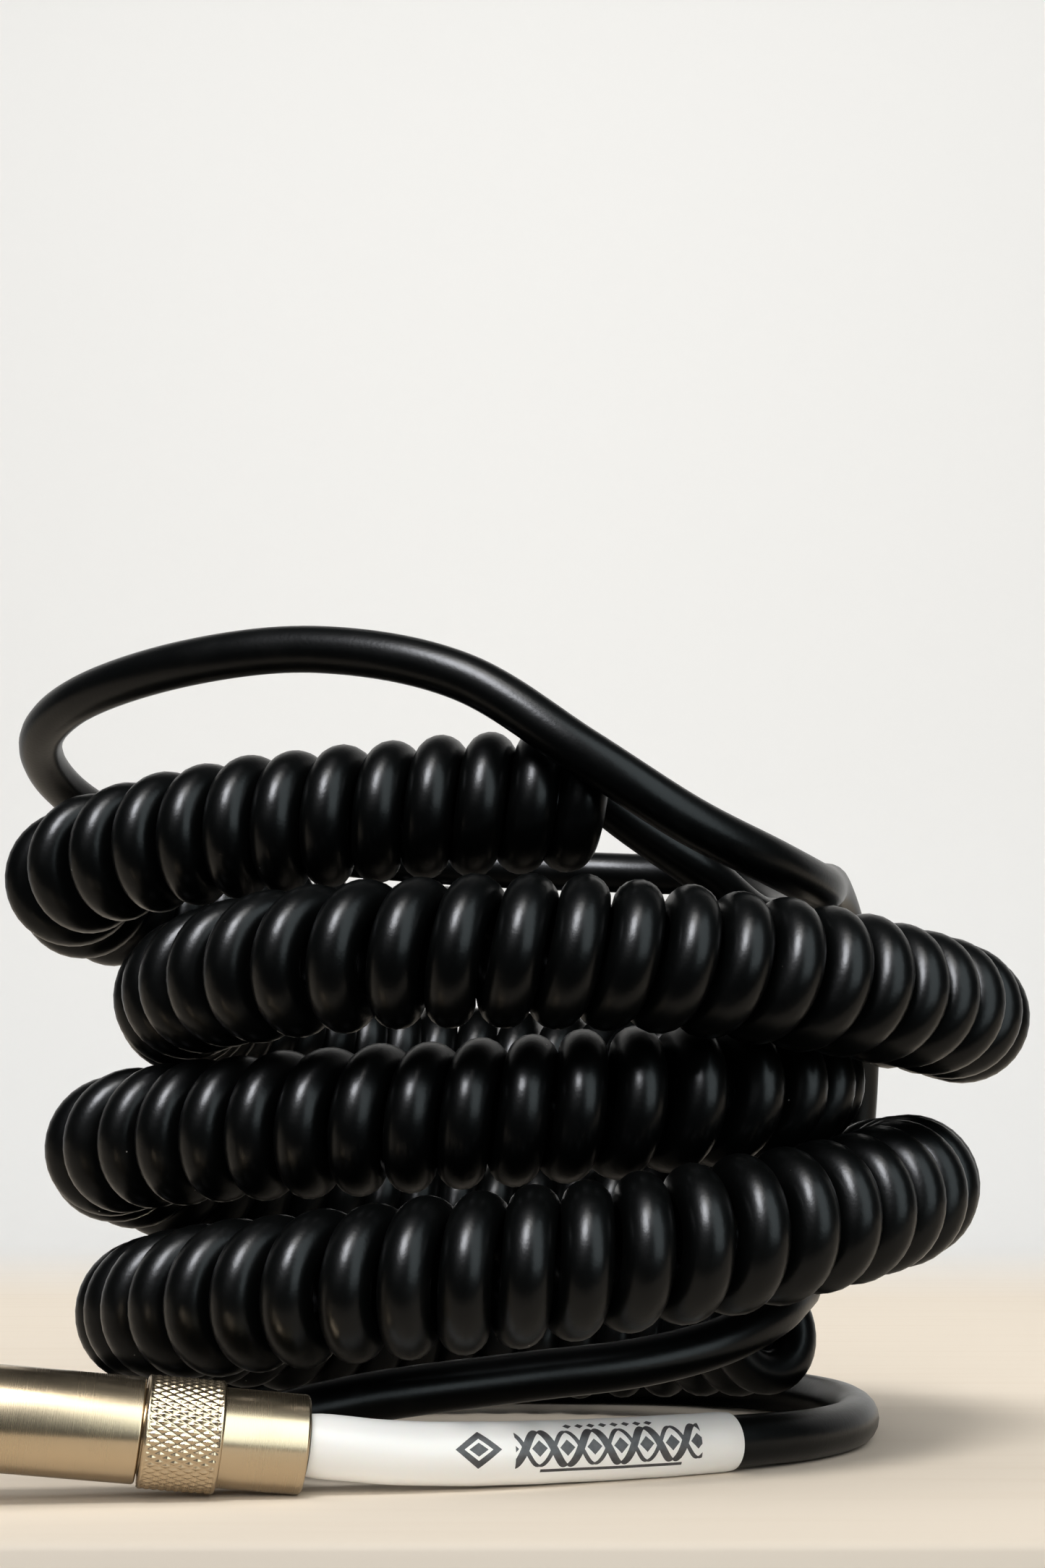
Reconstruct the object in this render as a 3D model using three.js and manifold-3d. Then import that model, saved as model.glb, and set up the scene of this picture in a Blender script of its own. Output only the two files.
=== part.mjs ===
// Curly instrument lead with a 6.35 mm straight jack plug at each end, wound in a pile of loops.
// Millimetres, +Z up. The origin is on the table, under the middle of the whole lead.
// The lead's own places are given from the axis of the pile, and MIDDLE moves them to the origin.
import * as THREE from "three";
import { mergeVertices } from "three/addons/utils/BufferGeometryUtils.js";
import Module from "manifold-3d";

const wasm = await Module();
wasm.setup();

// ---- Driving dimensions ----
const CORD_D = 8.0; // jacket of the lead
const CURL_D = 24.0; // outside of the moulded curl
const SHRINK_D = 9.2; // printed heat-shrink sleeve
const JACK_D = 6.35; // shank and tip
const JACK_L = 30.8; // shoulder to the end of the tip
const SHOULDER_D = 14.0;
const SHOULDER_L = 2.5;
const BARREL_D = 15.0;
const BARREL_L = 38.0;
const KNURL_D = 16.0;
const KNURL_L = 11.3;
const NUT_TAIL_D = 14.2;
const NUT_TAIL_L = 12.5;
const GAP = 0.3; // running gap between neighbouring pieces
const WALL_SIDES = 20; // facets around a turned piece
const CORD_SIDES = 10;

// The tube that stands for the jacket is a little thinner than the jacket, so that it clears its collars.
const CORD_R = CORD_D / 2 - GAP / 2;
const CURL_R = CURL_D / 2 - 1.5 * GAP;

// Stations along a plug's axis, from the nut's rear face towards the tip.
const NUT_L = NUT_TAIL_L + KNURL_L;
const BARREL_START = NUT_L + GAP;
const BARREL_END = BARREL_START + BARREL_L;
const SHOULDER_START = BARREL_END + GAP;
const SHOULDER_END = SHOULDER_START + SHOULDER_L;
const RING_START = SHOULDER_END + 18.3;
const TIP_START = RING_START + 1.3;
const TIP_END = SHOULDER_END + JACK_L;
const SPIGOT_START = NUT_TAIL_L + GAP;
const BOSS_START = SHOULDER_START - 8.3;
const JACKET_END = 37;
const CORE_END = 42.5;
const WIRE_END = 49.4;
const ROD_START = 49.9; // rear end of the tip's rod
const LUG_START = 50.6;
const LUG_END = 51.2;
const TAB_START = 44.5; // where the tip's lug begins, over the centre conductor
const SADDLE_START = 29.5; // the ground lug's grip on the jacket
const LINER_START = 28.5;
const LINER_END = 50.3;
const CHUCK_START = 9.4;
const CHUCK_END = 26.3;
const SLOT_END = 20; // front of the chuck's slots
const CONE_START = 8.4; // the nut's cone, which closes the chuck on the lead
const CONE_END = 11.4;

// Radii that neighbouring pieces share.
const ROD_HOLE_R = 1.2;
const TUBE_R = 1.9;
const THREAD_R = 6.0;
const COLLAR_BORE_R = 5.3;
const BARREL_BORE_R = 6.4;

// Where each plug's nut ends, and the way its tip points.
const PLUG_A = { rear: [-32, -51.5, 7.06], towards: [-0.977, -0.187, 0.105] };
const PLUG_B = { rear: [12, 98, 8.25], towards: [-0.9995, 0.03, -0.004] };

// Straight lead behind each nut, then the points its middle passes on the way to the curl.
const STRAIGHT = 13;
const SHRINK_IN_NUT = 0.8;
const SHRINK_L = 71;
const SHRINK_STEPS = 12;
const LAP = 1; // how far the jacket's parts run into each other
const LEAD_A = [
  [-6, -45.5, 5.1], [14, -36.5, 4.7], [36, -24, 4.6], [47, -13, 4.2], [56, 3, 4], [60, 24, 4],
  [58, 46, 4], [50, 63, 4], [34, 76, 4], [8, 80, 4], [-22, 79, 4], [-52, 70, 4], [-72, 52, 4],
  [-80, 28, 4], [-79, 2, 4], [-68, -20, 4.2], [-48, -27, 6.5], [-24, -22, 11], [0, -15, 13.5],
  [20, -10, 15.5], [34, -4, 18.5], [43.5, 4, 22.5], [49, 14, 26], [50, 24, 26.7],
];
const LEAD_B = [
  [41, 96, 12], [56, 91.5, 20.5], [65, 84, 33], [69, 79, 50], [70.5, 76, 66], [70, 70, 81],
  [66, 59.5, 95.7], [60.8, 42, 101.8], [57, 24, 100], [54.5, 5, 97], [50, -14, 95.2],
  [41, -27.5, 97.2], [27, -36.5, 102.6],
  [10, -39.8, 113], [-10, -36, 126.5], [-34, -28, 133], [-58, -18, 133], [-81, 0, 130],
  [-90, 15, 126], [-90, 31, 121], [-82, 46, 116], [-64, 54, 112.6], [-38, 55, 110],
  [-8, 54, 107.6], [22, 50, 105.8], [42, 40, 103.5], [48, 27, 98.2], [47.5, 12, 92.5], [40.5, -1, 91.5],
  [31, -9, 98.2], [21, -14, 105.8], [14.6, -16, 109.5],
];

// The curl winds up from the table, anticlockwise seen from above: right, back, left, front, right ...
// SIDEWAYS is how far its middle stands from the pile's axis at each right and left,
// DEEP the same at each back and front, and RISE its height at each quarter of a turn.
const SIDEWAYS = [48.5, 65.5, 69, 73.5, 48.5, 60, 79, 82.5, 47.5];
const DEEP = [52, 59, 52, 46, 52, 60, 52, 37, 37];
const RISE = [20, 14.5, 22, 32.5, 45, 38, 50.3, 56.3, 63.5, 67.1, 75.6, 80.3, 74.5, 91.4, 98.8, 107.5, 109.5];
const SET_BACK = 12; // the loops' shared middle, behind the pile's axis
const CURL_START = 0.25; // quarters of a turn
const CURL_END = 15.12;
const CURL_LOOPS = 4;

const MIDDLE = [-17.78, 17.81, 0.04];

// ---- Helpers ----
function solidOf(geometry) {
  const bare = geometry.index ? geometry.toNonIndexed() : geometry.clone();
  bare.deleteAttribute("normal");
  bare.deleteAttribute("uv");
  const merged = mergeVertices(bare, 1e-3);
  const mesh = new wasm.Mesh({
    numProp: 3,
    vertProperties: merged.attributes.position.array,
    triVerts: new Uint32Array(merged.index.array),
  });
  return new wasm.Manifold(mesh);
}

function geometryOf(solid) {
  const mesh = solid.getMesh();
  const geometry = new THREE.BufferGeometry();
  geometry.setAttribute("position", new THREE.BufferAttribute(mesh.vertProperties, 3));
  geometry.setIndex(new THREE.BufferAttribute(mesh.triVerts, 1));
  return geometry;
}

// A piece turned about the plug's axis, from [station, radius] points that go round its section.
function turned(outline) {
  const onAxis = outline[0][1] === 0;
  const closed = onAxis ? outline : [...outline, outline[0]];
  const points = closed.map(([station, radius]) => new THREE.Vector2(radius, station));
  return new THREE.LatheGeometry(points, WALL_SIDES).rotateZ(-Math.PI / 2);
}

function washer(from, to, innerRadius, outerRadius) {
  return turned([
    [from, innerRadius],
    [from, outerRadius],
    [to, outerRadius],
    [to, innerRadius],
  ]);
}

function rod(from, to, radius) {
  return turned([
    [from, 0],
    [from, radius],
    [to, radius],
    [to, 0],
  ]);
}

function block(from, to) {
  const size = to.map((high, i) => high - from[i]);
  const middle = to.map((high, i) => (high + from[i]) / 2);
  return new THREE.BoxGeometry(...size).translate(...middle);
}

function polygon(radius, sides) {
  const corners = [];
  for (let i = 0; i < sides; i += 1) {
    const angle = (i * 2 * Math.PI) / sides;
    corners.push(new THREE.Vector2(radius * Math.cos(angle), radius * Math.sin(angle)));
  }
  return corners;
}

function sweep(path, radius, sides, steps, boreRadius = 0) {
  const section = new THREE.Shape(polygon(radius, sides));
  if (boreRadius) section.holes.push(new THREE.Path(polygon(boreRadius, sides).reverse()));
  return new THREE.ExtrudeGeometry(section, { steps, extrudePath: path });
}

// A smooth value through a list of values at whole numbers.
function through(values, at) {
  const last = values.length - 1;
  const i = Math.min(Math.max(Math.floor(at), 0), last - 1);
  const u = at - i;
  const before = i > 0 ? values[i - 1] : 2 * values[0] - values[1];
  const after = i + 2 <= last ? values[i + 2] : 2 * values[last] - values[last - 1];
  const [p, q] = [values[i], values[i + 1]];
  const curve = 2 * before - 5 * p + 4 * q - after + u * (3 * (p - q) + after - before);
  return p + 0.5 * u * (q - before + u * curve);
}

// The middle of the curl between two places, counted in quarters of a turn.
class CurlMiddle extends THREE.Curve {
  constructor(from, to) {
    super();
    this.from = from;
    this.to = to;
  }

  getPoint(t, target = new THREE.Vector3()) {
    const quarter = this.from + (this.to - this.from) * t;
    const angle = (quarter * Math.PI) / 2;
    const x = through(SIDEWAYS, quarter / 2) * Math.cos(angle);
    const y = SET_BACK + through(DEEP, (quarter - 1) / 2) * Math.sin(angle);
    return target.set(x, y, through(RISE, quarter));
  }
}

// Part of a longer curve, between two distances along it.
class Stretch extends THREE.Curve {
  constructor(whole, from, to) {
    super();
    this.whole = whole;
    this.from = from / whole.getLength();
    this.to = to / whole.getLength();
  }

  getPoint(t, target = new THREE.Vector3()) {
    return this.whole.getPointAt(this.from + (this.to - this.from) * t, target);
  }
}

// ---- Materials ----
function finish(color, roughness, metalness) {
  return () => new THREE.MeshStandardMaterial({ color, roughness, metalness });
}
const satinGold = finish(0xc8b490, 0.32, 1);
const plated = finish(0xd4bd8c, 0.2, 1);
const tinned = finish(0xb9bbbd, 0.35, 1);
const copper = finish(0xb87a50, 0.35, 1);
const blackPlastic = finish(0x101112, 0.4, 0);
const clearPlastic = finish(0xd9d9d2, 0.3, 0);
const whiteShrink = finish(0xf0efeb, 0.4, 0);
const blackJacket = finish(0x0b0c0d, 0.25, 0);

// ---- Plug pieces, each about the plug's axis ----
function tipContact() {
  const rodRadius = 0.9;
  const full = JACK_D / 2;
  const waist = 2.35;
  return turned([
    [ROD_START, 0],
    [ROD_START, rodRadius],
    [TIP_START, rodRadius],
    [TIP_START, full],
    [TIP_START + 2.6, full],
    [TIP_START + 3.4, waist],
    [TIP_START + 4.4, waist],
    [TIP_START + 7.0, full],
    [TIP_START + 8.6, full - 0.35],
    [TIP_START + 10.2, full - 1.4],
    [TIP_END, 0.7],
    [TIP_END, 0],
  ]);
}

function tipInsulator() {
  const tubeStart = BOSS_START + GAP;
  return turned([
    [tubeStart, ROD_HOLE_R],
    [tubeStart, TUBE_R],
    [RING_START, TUBE_R],
    [RING_START, JACK_D / 2],
    [TIP_START - GAP, JACK_D / 2],
    [TIP_START - GAP, ROD_HOLE_R],
  ]);
}

function sleeveContact() {
  const chamfer = 0.35;
  const boss = THREAD_R + 0.1;
  const bore = TUBE_R + GAP;
  return turned([
    [BOSS_START, bore],
    [BOSS_START, boss],
    [SHOULDER_START, boss],
    [SHOULDER_START, SHOULDER_D / 2],
    [SHOULDER_END - chamfer, SHOULDER_D / 2],
    [SHOULDER_END, SHOULDER_D / 2 - chamfer],
    [SHOULDER_END, JACK_D / 2],
    [RING_START - GAP, JACK_D / 2],
    [RING_START - GAP, bore],
  ]);
}

function insulatingWasher() {
  return washer(BOSS_START - 2.3, BOSS_START - 1.5, ROD_HOLE_R, 3.8);
}

function tipLug() {
  const ring = washer(LUG_START, LUG_END, ROD_HOLE_R, 2.4);
  const tab = block([TAB_START, -1.2, 1.3], [LUG_END, 1.2, 1.9]);
  return geometryOf(solidOf(ring).add(solidOf(tab)));
}

function groundLug() {
  const ring = washer(BOSS_START - 1, BOSS_START - GAP, 2.5, 5.0);
  const tongue = block([JACKET_END - 1.5, -1.6, -5.0], [BOSS_START - GAP, 1.6, -4.3]);
  const saddle = washer(SADDLE_START, JACKET_END - 1.2, 4.2, 4.9);
  const mouth = block([SADDLE_START - 0.5, -2.6, 0], [JACKET_END, 2.6, 6]);
  return geometryOf(solidOf(saddle).subtract(solidOf(mouth)).add(solidOf(tongue)).add(solidOf(ring)));
}

function barrel() {
  const chamfer = 0.4;
  const collarEnd = BARREL_START + 2.7;
  return turned([
    [SPIGOT_START, COLLAR_BORE_R],
    [SPIGOT_START, THREAD_R],
    [BARREL_START, THREAD_R],
    [BARREL_START, BARREL_D / 2 - chamfer],
    [BARREL_START + chamfer, BARREL_D / 2],
    [BARREL_END - chamfer, BARREL_D / 2],
    [BARREL_END, BARREL_D / 2 - chamfer],
    [BARREL_END, BARREL_BORE_R],
    [collarEnd, BARREL_BORE_R],
    [collarEnd, COLLAR_BORE_R],
  ]);
}

function liner() {
  return washer(LINER_START, LINER_END, 5.5, BARREL_BORE_R - GAP);
}

function chuck() {
  const bore = 4.3;
  const tube = COLLAR_BORE_R - GAP;
  const jaw = 5.9;
  const jawEnd = SPIGOT_START - 0.5;
  const collar = turned([
    [CHUCK_START, bore],
    [CHUCK_START, tube],
    [CHUCK_START + 1.8, jaw],
    [jawEnd, jaw],
    [jawEnd, tube],
    [CHUCK_END, tube],
    [CHUCK_END, bore],
  ]);
  const slit = () => block([CHUCK_START - 0.4, -0.5, 0], [SLOT_END, 0.5, jaw + 1]);
  const slots = [0, 1, 2].map((i) => slit().rotateX((i * 2 * Math.PI) / 3));
  return geometryOf(slots.reduce((solid, slot) => solid.subtract(solidOf(slot)), solidOf(collar)));
}

function clampNut() {
  const chamfer = 0.5;
  const mouth = 5.1;
  const cavity = 6.3;
  return turned([
    [0, mouth],
    [0, NUT_TAIL_D / 2 - chamfer],
    [chamfer, NUT_TAIL_D / 2],
    [NUT_TAIL_L, NUT_TAIL_D / 2],
    [NUT_TAIL_L, KNURL_D / 2 - chamfer],
    [NUT_TAIL_L + chamfer, KNURL_D / 2],
    [NUT_L - chamfer, KNURL_D / 2],
    [NUT_L, KNURL_D / 2 - chamfer],
    [NUT_L, cavity],
    [CONE_END, cavity],
    [CONE_START, mouth],
  ]);
}

function shieldDrain() {
  return rod(JACKET_END + GAP, CORE_END + 0.5, 0.6).translate(0, 0, -3.2);
}

const PLUG_PIECES = [
  ["tip_contact", tipContact, plated],
  ["tip_insulator", tipInsulator, blackPlastic],
  ["sleeve_contact", sleeveContact, plated],
  ["insulating_washer", insulatingWasher, blackPlastic],
  ["tip_lug", tipLug, tinned],
  ["ground_lug", groundLug, tinned],
  ["barrel", barrel, satinGold],
  ["liner", liner, clearPlastic],
  ["chuck", chuck, blackPlastic],
  ["clamp_nut", clampNut, satinGold],
  ["dielectric_core", () => rod(JACKET_END + GAP, CORE_END, 2.2), clearPlastic],
  ["centre_conductor", () => rod(CORE_END + GAP, WIRE_END, 0.55), copper],
  ["shield_drain", shieldDrain, copper],
];

// ---- Assembly ----
const pile = new THREE.Group();
pile.position.set(...MIDDLE).negate();

function addMesh(group, name, geometry, material) {
  const mesh = new THREE.Mesh(geometry, material());
  mesh.name = name;
  group.add(mesh);
}

function addPlug(label, { rear, towards }) {
  const plug = new THREE.Group();
  const along = new THREE.Vector3(...towards).normalize();
  plug.position.set(...rear);
  plug.quaternion.setFromUnitVectors(new THREE.Vector3(Math.sign(along.x), 0, 0), along);
  const body = new THREE.Group();
  if (along.x < 0) body.rotation.z = Math.PI;
  plug.add(body);
  PLUG_PIECES.forEach(([piece, shape, material]) => {
    addMesh(body, `plug_${label}_${piece}`, shape(), material);
  });
  pile.add(plug);
}

// The lead's middle from the jacket's end in a plug, straight out of the nut and on to the curl.
function leadPath({ rear, towards }, points) {
  const start = new THREE.Vector3(...rear);
  const along = new THREE.Vector3(...towards).normalize();
  const onAxis = (station) => start.clone().addScaledVector(along, station);
  const straight = [JACKET_END, 22, 8, -5, -STRAIGHT].map(onAxis);
  const free = points.map((point) => new THREE.Vector3(...point));
  const path = new THREE.CatmullRomCurve3([...straight, ...free]);
  path.arcLengthDivisions = 2000;
  return path;
}

// The jacket under the sleeve has the sleeve's own steps, so that the two stay apart all round.
function addLead(label, plug, points, steps) {
  const path = leadPath(plug, points);
  const shrinkStart = JACKET_END - SHRINK_IN_NUT;
  const shrinkEnd = shrinkStart + SHRINK_L;
  const covered = new Stretch(path, shrinkStart, shrinkEnd);
  const jacket = [
    sweep(new Stretch(path, 0, shrinkStart + LAP), CORD_R, CORD_SIDES, 2),
    sweep(covered, CORD_R, CORD_SIDES, SHRINK_STEPS),
    sweep(new Stretch(path, shrinkEnd - LAP, path.getLength()), CORD_R, CORD_SIDES, steps),
  ];
  const whole = jacket.map(solidOf).reduce((solid, next) => solid.add(next));
  addMesh(pile, `lead_tail_${label}`, geometryOf(whole), blackJacket);
  const sleeve = sweep(covered, SHRINK_D / 2, 12, SHRINK_STEPS, CORD_R + 1.25 * GAP);
  addMesh(pile, `plug_${label}_printed_sleeve`, sleeve, whiteShrink);
}

function addCurl() {
  const quarters = (CURL_END - CURL_START) / CURL_LOOPS;
  const seam = 0.006; // quarters of a turn left open between two loops
  for (let loop = 0; loop < CURL_LOOPS; loop += 1) {
    const from = CURL_START + loop * quarters + (loop ? seam : 0);
    const to = CURL_START + (loop + 1) * quarters;
    const tube = sweep(new CurlMiddle(from, to), CURL_R, 12, 20);
    addMesh(pile, `curl_loop_${loop + 1}`, tube, blackJacket);
  }
}

addPlug("a", PLUG_A);
addPlug("b", PLUG_B);
addLead("a", PLUG_A, LEAD_A, 30);
addLead("b", PLUG_B, LEAD_B, 36);
addCurl();

const lead = new THREE.Group();
lead.add(pile);

export default lead;
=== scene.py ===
import math

import bpy
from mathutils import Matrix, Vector


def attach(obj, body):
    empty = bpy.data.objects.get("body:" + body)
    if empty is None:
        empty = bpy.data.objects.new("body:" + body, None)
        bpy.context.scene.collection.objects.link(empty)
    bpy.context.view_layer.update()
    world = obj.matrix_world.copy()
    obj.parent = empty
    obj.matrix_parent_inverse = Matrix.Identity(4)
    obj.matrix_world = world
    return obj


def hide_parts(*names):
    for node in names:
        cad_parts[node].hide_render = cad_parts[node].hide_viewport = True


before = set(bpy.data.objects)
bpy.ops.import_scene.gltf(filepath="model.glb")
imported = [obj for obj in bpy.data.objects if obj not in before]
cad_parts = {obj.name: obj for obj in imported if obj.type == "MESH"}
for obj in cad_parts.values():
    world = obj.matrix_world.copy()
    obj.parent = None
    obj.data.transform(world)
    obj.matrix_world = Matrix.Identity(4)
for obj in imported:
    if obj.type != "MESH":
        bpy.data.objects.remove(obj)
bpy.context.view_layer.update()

MM = 0.001
TAU = 2 * math.pi

# ---- The lead's driving dimensions, in millimetres, as in the CAD ----
CORD_R = 4.0
CURL_R = 8.0  # from the middle of the curl to the middle of the cord in it
SHRINK_R = 4.6
JACK_R = 3.175
SHOULDER_R = 7.0
BARREL_R = 7.5
KNURL_R = 8.0
NUT_TAIL_R = 7.1
NUT_TAIL_L = 12.5
NUT_L = 23.8
GAP = 0.3
BARREL_START = NUT_L + GAP
BARREL_END = BARREL_START + 38.0
SHOULDER_START = BARREL_END + GAP
SHOULDER_END = SHOULDER_START + 2.5
RING_START = SHOULDER_END + 18.3
TIP_START = RING_START + 1.3
TIP_END = SHOULDER_END + 30.8
SPIGOT_START = NUT_TAIL_L + GAP
BOSS_START = SHOULDER_START - 8.3
JACKET_END = 37.0
STRAIGHT = 13.0
SHRINK_IN_NUT = 0.8
SHRINK_L = 71.0
STEM_R = 0.9
WAIST_R = 2.3
ROD_HOLE_R = 1.2
TUBE_R = 1.9
BOSS_R = 6.1
BOSS_BORE_R = 2.2
SPIGOT_R = 6.0
COLLAR_BORE_R = 5.3
COLLAR_L = 2.7
BARREL_BORE_R = 6.4
NUT_MOUTH_R = 5.1
NUT_CAVITY_R = 6.3
CONE_START = 8.4
CONE_END = 11.4
ROD_START = 49.9

# ---- Where the lead lies, in millimetres from the axis of the pile ----
MIDDLE = Vector((-17.78, 17.81, 0.04))
PLUGS = {
    "a": ((-32, -51.5, 7.06), (-0.977, -0.187, 0.105)),
    "b": ((12, 98, 8.25), (-0.9995, 0.03, -0.004)),
}
LEAD_A = [
    (-6, -45.5, 5.1), (14, -36.5, 4.7), (36, -24, 4.6), (47, -13, 4.2), (56, 3, 4), (60, 24, 4),
    (58, 46, 4), (50, 63, 4), (34, 76, 4), (8, 80, 4), (-22, 79, 4), (-52, 70, 4), (-72, 52, 4),
    (-80, 28, 4), (-79, 2, 4), (-68, -20, 4.2), (-48, -27, 6.5), (-24, -22, 11), (0, -15, 13.5),
    (20, -10, 15.5), (34, -4, 18.5), (43.5, 4, 22.5), (49, 14, 26), (50, 24, 26.7),
]
LEAD_B = [
    (41, 96, 12), (56, 91.5, 20.5), (65, 84, 33), (69, 79, 50), (70.5, 76, 66), (70, 70, 81),
    (66, 59.5, 95.7), (60.8, 42, 101.8), (57, 24, 100), (54.5, 5, 97), (50, -14, 95.2),
    (41, -27.5, 97.2), (27, -36.5, 102.6), (10, -39.8, 113), (-10, -36, 126.5), (-34, -28, 133),
    (-58, -18, 133), (-81, 0, 130), (-90, 15, 126), (-90, 31, 121), (-82, 46, 116),
    (-64, 54, 112.6), (-38, 55, 110), (-8, 54, 107.6), (22, 50, 105.8), (42, 40, 103.5),
    (48, 27, 98.2), (47.5, 12, 92.5), (40.5, -1, 91.5), (31, -9, 98.2), (21, -14, 105.8),
    (14.6, -16, 109.5),
]
SIDEWAYS = [48.5, 65.5, 69, 73.5, 48.5, 60, 79, 82.5, 47.5]
DEEP = [52, 59, 52, 46, 52, 60, 52, 37, 37]
RISE = [
    20, 14.5, 22, 32.5, 45, 38, 50.3, 56.3, 63.5, 67.1, 75.6, 80.3, 74.5, 91.4, 98.8, 107.5, 109.5,
]
SET_BACK = 12.0
CURL_START = 0.25
CURL_END = 15.12

# ---- How the curl winds round that path ----
TURN_GAP = 7.6  # from turn to turn on the inside of a loop, where the turns press together
FIRST_PHASE = math.radians(100)
LAST_PHASE = math.radians(140)
STEPS_PER_TURN = 36
CORD_SIDES = 20
CURL_SAMPLES = 6000
BEND_REACH = 60  # samples to either side over which the path's bend is measured
BEND_EVERY = 20
STRAIGHT_STATIONS = (JACKET_END, 22, 8, -5, -STRAIGHT)
PATH_STEP = 1.6
BRIDGE_STEP = 1.5
BRIDGE_SLACK = 1.2  # how much longer a bridge is than the straight way across
PULL_A = 12  # how far each tail runs on before it turns into the curl
PULL_B = 14

# ---- Small unevenness, as waves of a size, a rate and a start ----
PITCH_RIPPLE = ((0.030, 1 / 37, 0.0), (0.022, 1 / 14.3, 1.0))
CURL_RIPPLE = ((0.12, 1 / 5.3, 0.0), (0.08, 1 / 2.1, 2.0))
SLEEVE_RIPPLE = ((0.02, 0.9, 0.0), (0.015, 0.37, 1.0))

# ---- Detail of the plugs' surfaces ----
CORNER_STEPS = 3
EDGE = 0.12  # how far a turned piece's corners are rounded back
FIT = 0.02  # between two pieces that touch
AXIS_R = 0.02  # a piece closed on its axis ends in a ring this small
THREAD_PITCH = 1.0
THREAD_STEP = 0.125
THREAD_EASE = 0.6
THREAD_FLANK = 2.3
KNURL_LIP = 0.55
KNURL_ROUND = 43  # diamonds round the nut
KNURL_LONG = 2.17  # length of a diamond along it
KNURL_DEPTH = 0.24
KNURL_PEAK = 1.15  # how far the diamonds' points stand above the band, against their depth of 1
KNURL_EASE = 0.12
KNURL_EDGE = 0.06  # the band's rounded corners, lower than this, stay plain
SLEEVE_SEGMENTS = 48
SHRUNK_ENDS = {0: 0.16, 1: 0.03}  # how much thinner the sleeve is at its first two rings
PRINT_LEAN = math.radians(14)

# ---- The CAD's inner pieces, kept as they are, and the look of each ----
KEPT_NODES = {
    "insulating_washer": "black_insulator",
    "tip_lug": "tinned_lug",
    "ground_lug": "tinned_lug",
    "liner": "clear_plastic",
    "chuck": "black_insulator",
    "dielectric_core": "clear_plastic",
    "centre_conductor": "copper_wire",
    "shield_drain": "copper_wire",
}

# ---- Camera, table and room ----
CAMERA_PLACE = (0, -384, 46)  # millimetres from the pile's axis
CAMERA_LENS = 50
CAMERA_TILT = math.radians(10.2)
TABLE_FRONT = -91.5  # millimetres from the pile's axis; the rest of the stage is in metres
TABLE_THICK = 0.04
TABLE_EDGE = 0.0015
STAGE_HALF = 3.0
STAGE_BACK = 1.3
STAGE_TOP = 3.0
COVE = 0.35
COVE_STEPS = 12
FADE_START = 0.45  # how far back the wood begins to turn into the plain backdrop
FADE_END = 1.0
NEAR_FLOOR = (0.765, 0.675, 0.565, 1)
GRAIN = (0.60, 0.48, 0.36, 1)
FAR_FLOOR = (0.84, 0.835, 0.825, 1)
ROOM = (0.04, 0.045, 0.05, 1)
PALE_ROOM = (0.86, 0.855, 0.84, 1)
PILE = (0, 0, 0.05)

# ---- Colours ----
JACKET_BLACK = (0.0015, 0.0018, 0.0018)
DUST = (0.5, 0.49, 0.46)
SHRINK_WHITE = (0.96, 0.96, 0.95)
INK = (0.02, 0.018, 0.022)

# ---- The print, in millimetres along the sleeve from its cut end and round it ----
EMBLEM_ZONE = (21.0, 28.0)
EMBLEM = 7.0
RIBBON_ZONE = (30.0, 61.5)
WAVE = 9.0
THINNEST = 0.17
BEAD = 4.5
TOPS_ZONE = (38.0, 54.0)
LINE_ZONE = (34.0, 58.0)
LINE_BAND = (3.1, 3.6)


# ---- Camera ----
def add_camera():
    data = bpy.data.cameras.new("camera")
    data.lens = CAMERA_LENS
    data.sensor_width = 36
    data.clip_start = 0.01
    camera = bpy.data.objects.new("camera", data)
    bpy.context.scene.collection.objects.link(camera)
    camera.location = place(CAMERA_PLACE)
    camera.rotation_euler = (math.pi / 2 + CAMERA_TILT, 0, 0)
    bpy.context.scene.camera = camera


def place(point):
    """A point given in millimetres from the pile's axis, in the frame's metres."""
    return (Vector(point) - MIDDLE) * MM


# ---- Curves ----
def through(values, at):
    """A smooth value through a list of values at whole numbers."""
    last = len(values) - 1
    i = min(max(math.floor(at), 0), last - 1)
    u = at - i
    before = values[i - 1] if i > 0 else 2 * values[0] - values[1]
    after = values[i + 2] if i + 2 <= last else 2 * values[last] - values[last - 1]
    p, q = values[i], values[i + 1]
    curve = 2 * before - 5 * p + 4 * q - after + u * (3 * (p - q) + after - before)
    return p + 0.5 * u * (q - before + u * curve)


def smooth_path(points, step):
    """Points about step apart on the centripetal Catmull-Rom curve through points."""
    points = [Vector(p) for p in points]
    ends = [2 * points[0] - points[1]] + points + [2 * points[-1] - points[-2]]
    path = [points[0]]
    for p0, p1, p2, p3 in zip(ends, ends[1:], ends[2:], ends[3:]):
        d0, d1, d2 = [math.sqrt((b - a).length) for a, b in ((p0, p1), (p1, p2), (p2, p3))]
        m1 = ((p1 - p0) / d0 - (p2 - p0) / (d0 + d1) + (p2 - p1) / d1) * d1
        m2 = ((p2 - p1) / d1 - (p3 - p1) / (d1 + d2) + (p3 - p2) / d2) * d1
        count = max(1, round((p2 - p1).length / step))
        path += [hermite(p1, m1, p2, m2, (k + 1) / count) for k in range(count)]
    return path


def hermite(p, m, q, n, u):
    """A point on the curve from p, heading m, to q, heading n."""
    u2, u3 = u * u, u * u * u
    at_start = p * (2 * u3 - 3 * u2 + 1) + m * (u3 - 2 * u2 + u)
    return at_start + q * (3 * u2 - 2 * u3) + n * (u3 - u2)


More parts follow.
